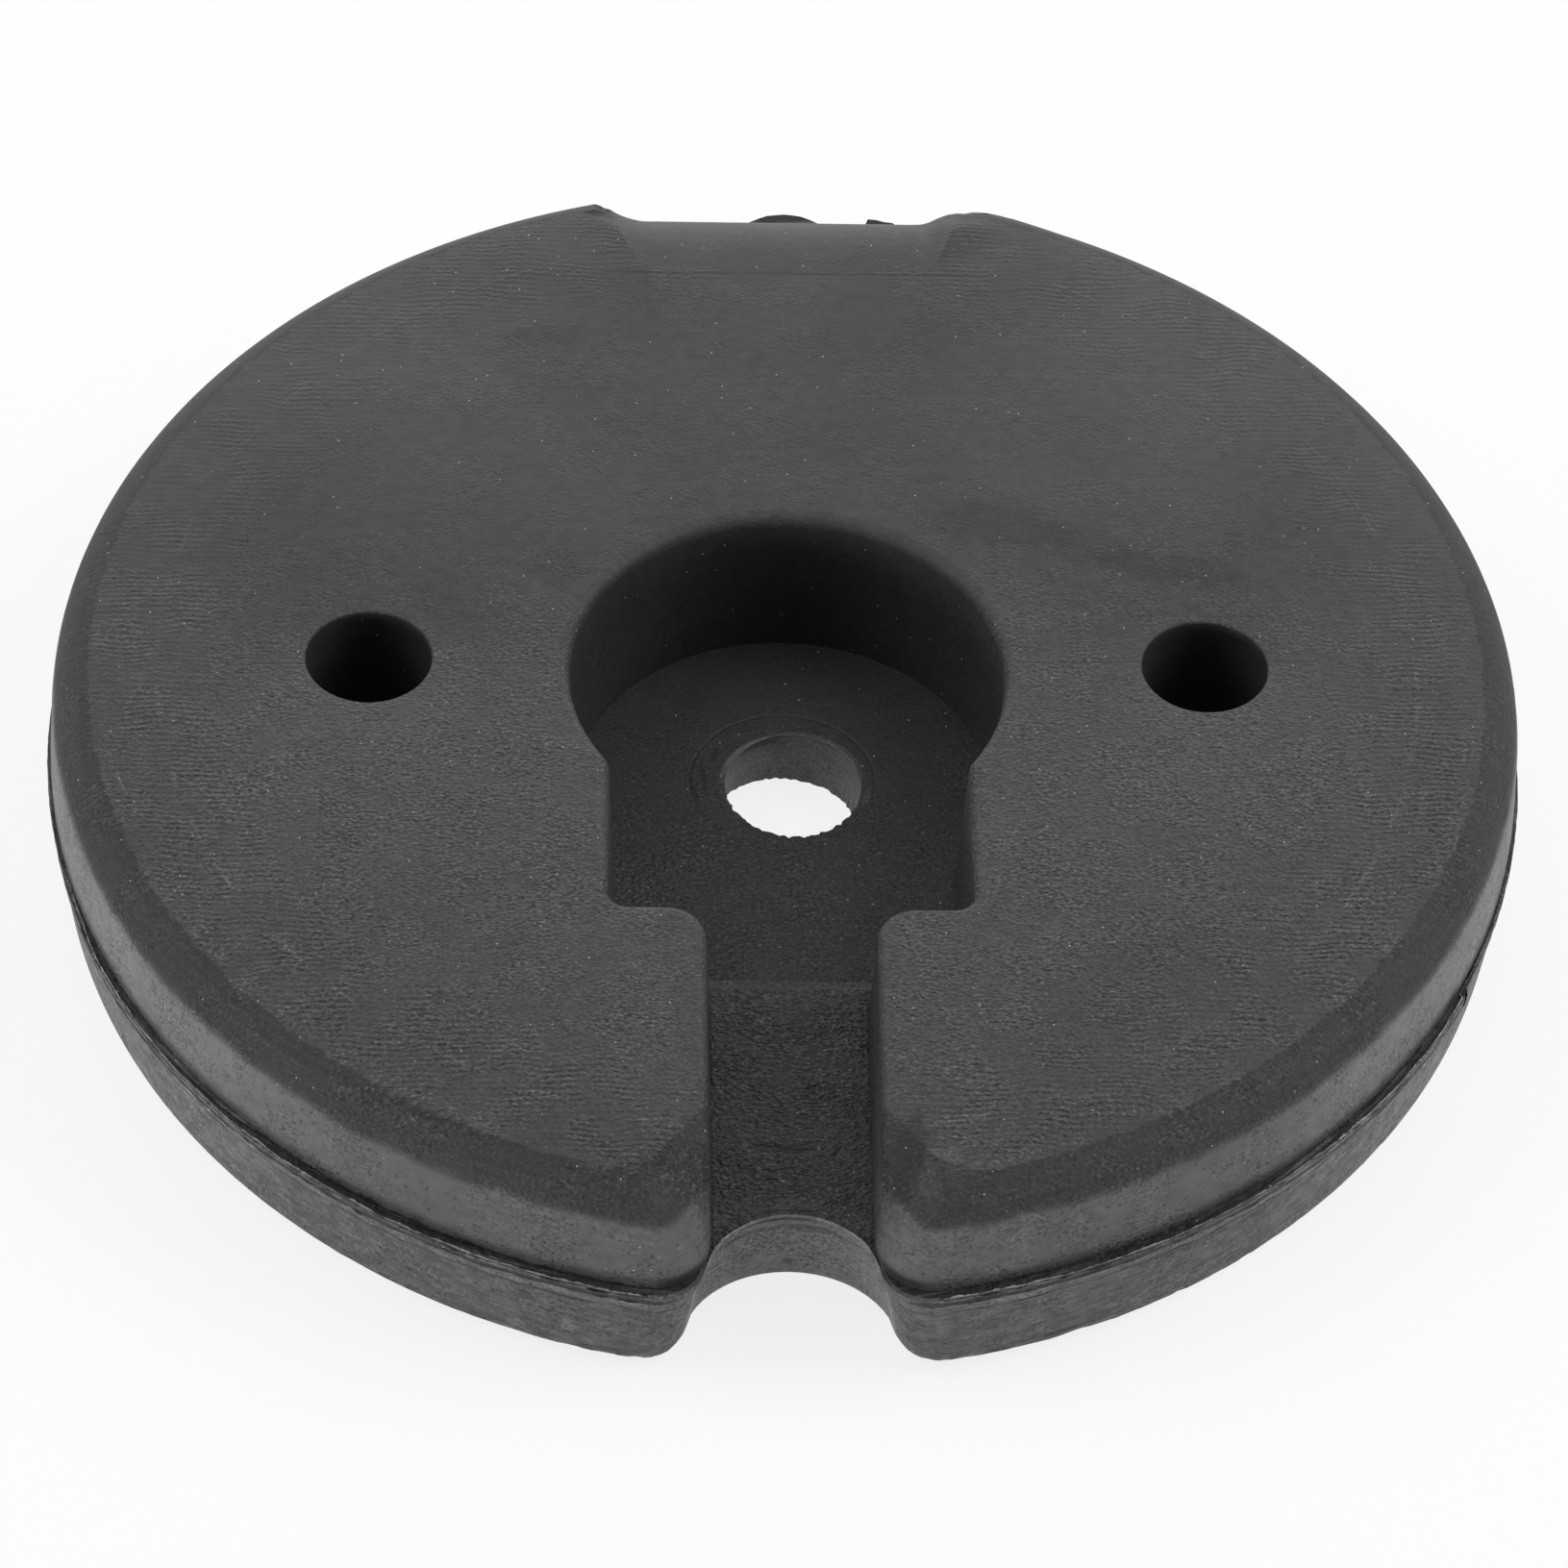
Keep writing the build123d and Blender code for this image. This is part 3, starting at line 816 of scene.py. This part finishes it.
    # Clouding of the rubber, and its grain, drawn a little coarser than the real powder
    clouding = cloud(tree, place, (0.11, 0.11, 0.11), 1.0, 0.3, 0.7)
    tone = shade(tree, tone, clouding, 1.2)
    crisp = add_node(
        tree, "ShaderNodeMapRange",
        {"Value": along, "From Min": -16.0, "From Max": 20.0, "To Min": 1.0, "To Max": 0.25},
        interpolation_type="SMOOTHSTEP",
    ).outputs[0]
    coarse = lift(tree, lift(tree, lift(tree, 0.5, worn, 0.6), channel, 0.6), near_rim, -0.35)
    coarse = lift(tree, lift(tree, lift(tree, coarse, pocket, 0.3), lower_wall, 0.2), rolled_edge, 0.4)
    patchy = both(tree, both(tree, crisp, coarse), lift(tree, 1.0, side_hole, -1.0))
    grain = cloud(tree, place, (2.6, 3.8, 3.8), 1.0, 0.3, 0.7)
    tone = shade(tree, tone, both(tree, lift(tree, -0.5, grain, 1.0), patchy), 1.9)
    mottle = cloud(tree, place, (0.7, 1.0, 1.0), 2.0, 0.3, 0.7)
    tone = shade(tree, tone, lift(tree, -0.5, mottle, 1.0), 1.3)
    pale_flecks = cloud(tree, place, (3.8, 4.4, 4.4), 0.0, 0.62, 0.74)
    dark_flecks = cloud(tree, place, (3.2, 4.2, -4.2), 0.0, 0.6, 0.7)
    walls = add_node(tree, "ShaderNodeMath", {0: upper_wall, 1: low_sides}, operation="MAXIMUM").outputs[0]
    tone = shade(tree, tone, both(tree, both(tree, pale_flecks, patchy), lift(tree, 1.0, walls, -0.85)), 2.2)
    tone = shade(tree, tone, both(tree, dark_flecks, patchy), 0.35)
    streaks = cloud(tree, drawn, (3.0, 3.0, 3.0), 1.0, 0.25, 0.75)
    tone = shade(tree, tone, both(tree, streaks, lower_wall), 0.7)
    tone = shade(tree, tone, both(tree, streaks, rolled_edge), 0.6)
    rough_patches = cloud(tree, place, (0.7, 0.7, 1.1), 1.0, 0.3, 0.7)
    tone = shade(tree, tone, both(tree, rough_patches, lower_wall), 0.5)

    # Pits and pale grains
    pits = specks(tree, place, (0.9, 0.9, 0.9), 0.13, 0.8)
    tone = shade(tree, tone, both(tree, pits, crisp), 0.45)
    dust = specks(tree, place, (0.75, 0.75, 0.75), 0.065, 0.8)
    wall_pits = specks(tree, place, (1.4, 1.4, 1.4), 0.26, 0.45)
    tone = shade(tree, tone, both(tree, wall_pits, walls), 0.35)
    rim_dust = both(tree, band(tree, radius, 52.6, 55.2, 0.7), worn)
    rim_dust = both(tree, rim_dust, cloud(tree, place, (2.6, 3.0, 3.0), 1.0, 0.5, 0.62))
    tone = shade(tree, tone, both(tree, both(tree, rim_dust, crisp), band(tree, height, 16.0, 99.0, 0.5)), 1.8)

    # Marks of the mould insert on the top face, broken where they are worn, and the hairline between the holes
    ring = both(tree, both(tree, top_face, worn), band(tree, radius, 48.5, 48.75, 0.15))
    pocket_ring = both(tree, both(tree, top_face, worn), band(tree, radius, 23.2, 23.4, 0.15))
    skew = add_node(tree, "ShaderNodeVectorMath", {0: place, 1: (-0.019, 1, 0)}, operation="DOT_PRODUCT")
    hairline = both(tree, band(tree, skew.outputs["Value"], -0.27, -0.13, 0.04), band(tree, aside, 16.0, 41.0, 0.5))
    hairline = both(tree, hairline, top_face)
    flow_line = both(tree, band(tree, along, 32.4, 32.6, 0.15), band(tree, aside, -1.0, 34.0, 6.0))
    relief_line = both(tree, band(tree, along, 44.15, 44.4, 0.1), band(tree, aside, -1.0, 14.5, 1.5))
    tone = shade(tree, tone, both(tree, ring, crisp), 1.8)
    tone = shade(tree, tone, pocket_ring, 1.2)
    tone = shade(tree, tone, hairline, 0.6)
    tone = shade(tree, tone, both(tree, flow_line, top_face), 1.12)
    # Painted shade: a dark line along the crease at the front of the relief
    tone = shade(tree, tone, relief_line, 0.6)

    # Relief of the skin in mm: flow ripples across the top, drawn lines round the walls, pits and grain
    ripples = add_node(
        tree, "ShaderNodeTexWave", {"Vector": place, "Scale": 0.57, "Distortion": 6.0, "Detail": 0.0, "Detail Scale": 0.5},
        bands_direction="Y",
    ).outputs["Fac"]
    ripple_zone = both(tree, both(tree, top_face, crisp), band(tree, radius, 44.0, 54.0, 3.0))
    relief = lift(tree, 0.0, both(tree, both(tree, ripples, ripple_zone), lift(tree, 0.3, worn, 0.7)), 0.09)
    relief = lift(tree, relief, both(tree, streaks, lower_wall), -0.09)
    relief = lift(tree, relief, both(tree, rough_patches, lower_wall), 0.15)
    relief = lift(tree, relief, both(tree, both(tree, grain, patchy), lift(tree, 1.0, pocket, -0.6)), 0.1)
    relief = lift(tree, relief, lip_line, -0.08)
    relief = lift(tree, relief, ring, 0.02)
    relief = lift(tree, relief, hairline, -0.03)
    bump = add_node(tree, "ShaderNodeBump", {"Height": relief, "Strength": 1.0, "Distance": MM})

    rubber = add_node(
        tree, "ShaderNodeVectorMath", {0: settings.rubber_colour[:3], "Scale": tone}, operation="SCALE"
    ).outputs[0]
    colour = add_node(
        tree, "ShaderNodeMix", {"Factor": dust, 6: rubber, 7: settings.dust_colour}, data_type="RGBA"
    )
    shader = add_node(
        tree, "ShaderNodeBsdfPrincipled",
        {"Base Color": colour.outputs[2], "Roughness": 0.65, "Normal": bump.outputs["Normal"]},
    )
    add_node(tree, "ShaderNodeOutputMaterial", {"Surface": shader.outputs["BSDF"]})
    return material


class OBJECT_OT_weight_stage(bpy.types.Operator):
    """Sets the floor, lamps and camera"""

    bl_idname = "lamp_weight.stage"
    bl_label = "Studio Stage"

    def execute(self, context):
        settings = context.scene.lamp_stage
        bpy.ops.object.select_all(action="DESELECT")
        bpy.ops.mesh.primitive_plane_add(size=6.0, location=(0, 0, 0))
        floor = context.object
        floor.name = "studio_floor"
        floor.data.materials.append(white_floor())
        for name, turn, rise, distance, width, height, watts in LAMPS:
            softbox(context, name, math.radians(turn), math.radians(rise), distance, (width, height), watts)
        light_air(context, settings)
        aim_camera(context, settings)
        context.scene.view_settings.view_transform = "Standard"
        return {"FINISHED"}


def white_floor():
    """Matt white table that the camera and the disc's sheen see nearly white, under a soft shadow."""
    material = bpy.data.materials.new("white_table")
    material.use_nodes = True
    tree = material.node_tree
    tree.nodes.clear()
    table = add_node(tree, "ShaderNodeBsdfPrincipled", {"Base Color": linear("f3f3f3"), "Roughness": 0.9})
    white = add_node(tree, "ShaderNodeEmission", {"Color": linear("ffffff"), "Strength": 1.0})
    rays = add_node(tree, "ShaderNodeLightPath")
    glossy = add_node(
        tree, "ShaderNodeMath", {0: rays.outputs["Is Glossy Ray"], 1: 1.0}, operation="MULTIPLY"
    )
    share = add_node(
        tree, "ShaderNodeMath", {0: rays.outputs["Is Camera Ray"], 1: 0.82, 2: glossy.outputs[0]},
        operation="MULTIPLY_ADD", use_clamp=True,
    )
    seen = add_node(
        tree, "ShaderNodeMixShader", {0: share.outputs[0], 1: table.outputs[0], 2: white.outputs[0]}
    )
    add_node(tree, "ShaderNodeOutputMaterial", {"Surface": seen.outputs[0]})
    return material


def softbox(context, name, turn, rise, distance, size, watts):
    """A rectangular softbox that faces the disc, turned round it from the back."""
    place = Vector((math.sin(turn) * math.cos(rise), math.cos(turn) * math.cos(rise), math.sin(rise))) * distance
    bpy.ops.object.light_add(type="AREA", location=place)
    lamp = context.object
    lamp.name = name
    lamp.data.shape = "RECTANGLE"
    lamp.data.size, lamp.data.size_y = size
    lamp.data.energy = watts
    towards = Vector((0, 0, 0.01)) - place
    lamp.rotation_euler = towards.to_track_quat("-Z", "Y").to_euler()


def light_air(context, settings):
    """Soft light from the room's back and from overhead, white to the camera."""
    world = bpy.data.worlds.new("studio_air")
    context.scene.world = world
    world.use_nodes = True
    tree = world.node_tree
    tree.nodes.clear()
    way = add_node(tree, "ShaderNodeTexCoord").outputs["Generated"]
    axes = add_node(tree, "ShaderNodeSeparateXYZ", {0: way})
    back = add_node(
        tree, "ShaderNodeMapRange",
        {"Value": axes.outputs["Y"], "From Min": -0.3, "From Max": 0.3, "To Max": settings.back_air},
    )
    top = add_node(
        tree, "ShaderNodeMapRange",
        {"Value": axes.outputs["Z"], "From Min": 0.6, "From Max": 0.95, "To Max": settings.top_air},
    )
    air = add_node(tree, "ShaderNodeMath", {0: back.outputs[0], 1: top.outputs[0]}, operation="ADD")
    rays = add_node(tree, "ShaderNodeLightPath")
    strength = add_node(tree, "ShaderNodeMix", {0: rays.outputs["Is Camera Ray"], 2: air.outputs[0], 3: 1.0})
    backdrop = add_node(tree, "ShaderNodeBackground", {"Color": linear("ffffff"), "Strength": strength.outputs[0]})
    add_node(tree, "ShaderNodeOutputWorld", {"Surface": backdrop.outputs[0]})


def aim_camera(context, settings):
    """Puts the camera where the photograph was taken from."""
    el, az = settings.elevation, settings.azimuth
    back = Vector((math.sin(az) * math.cos(el), -math.cos(az) * math.cos(el), math.sin(el)))
    right = (-back).cross(Vector((0, 0, 1))).normalized()
    up = right.cross(-back)
    turn = settings.roll
    place = (
        back * settings.distance
        + Vector((0, 0, settings.aim_height))
        + right * settings.shift_right
        + up * settings.shift_up
    )
    across = math.cos(turn) * right + math.sin(turn) * up
    upright = -math.sin(turn) * right + math.cos(turn) * up
    bpy.ops.object.camera_add()
    camera = context.object
    camera.name = "photo_camera"
    turned = Matrix((across, upright, back)).transposed().to_4x4()
    camera.matrix_world = Matrix.Translation(place) @ turned
    camera.data.lens = settings.focal_length
    camera.data.sensor_width = 36
    camera.data.clip_start = 0.01
    context.scene.camera = camera


class VIEW3D_PT_lamp_weight(bpy.types.Panel):
    """Lists the weight's pieces and stage"""

    bl_label = "Lamp Weight"
    bl_idname = "VIEW3D_PT_lamp_weight"
    bl_space_type = "VIEW_3D"
    bl_region_type = "UI"
    bl_category = "Lamp Weight"

    def draw(self, context):
        for operator in OPERATORS:
            self.layout.operator(operator.bl_idname)
        for settings in (context.scene.lamp_disc, context.scene.lamp_stage):
            for name in type(settings).__annotations__:
                self.layout.prop(settings, name)


OPERATORS = (OBJECT_OT_weight_disc, OBJECT_OT_weight_stage)
CLASSES = (DiscSettings, StageSettings, *OPERATORS, VIEW3D_PT_lamp_weight)


def register():
    for cls in CLASSES:
        bpy.utils.register_class(cls)
    bpy.types.Scene.lamp_disc = bpy.props.PointerProperty(type=DiscSettings)
    bpy.types.Scene.lamp_stage = bpy.props.PointerProperty(type=StageSettings)


def unregister():
    del bpy.types.Scene.lamp_stage
    del bpy.types.Scene.lamp_disc
    for cls in reversed(CLASSES):
        bpy.utils.unregister_class(cls)


def main():
    register()
    bpy.ops.lamp_weight.disc()
    bpy.ops.lamp_weight.stage()


if __name__ == "__main__":
    main()
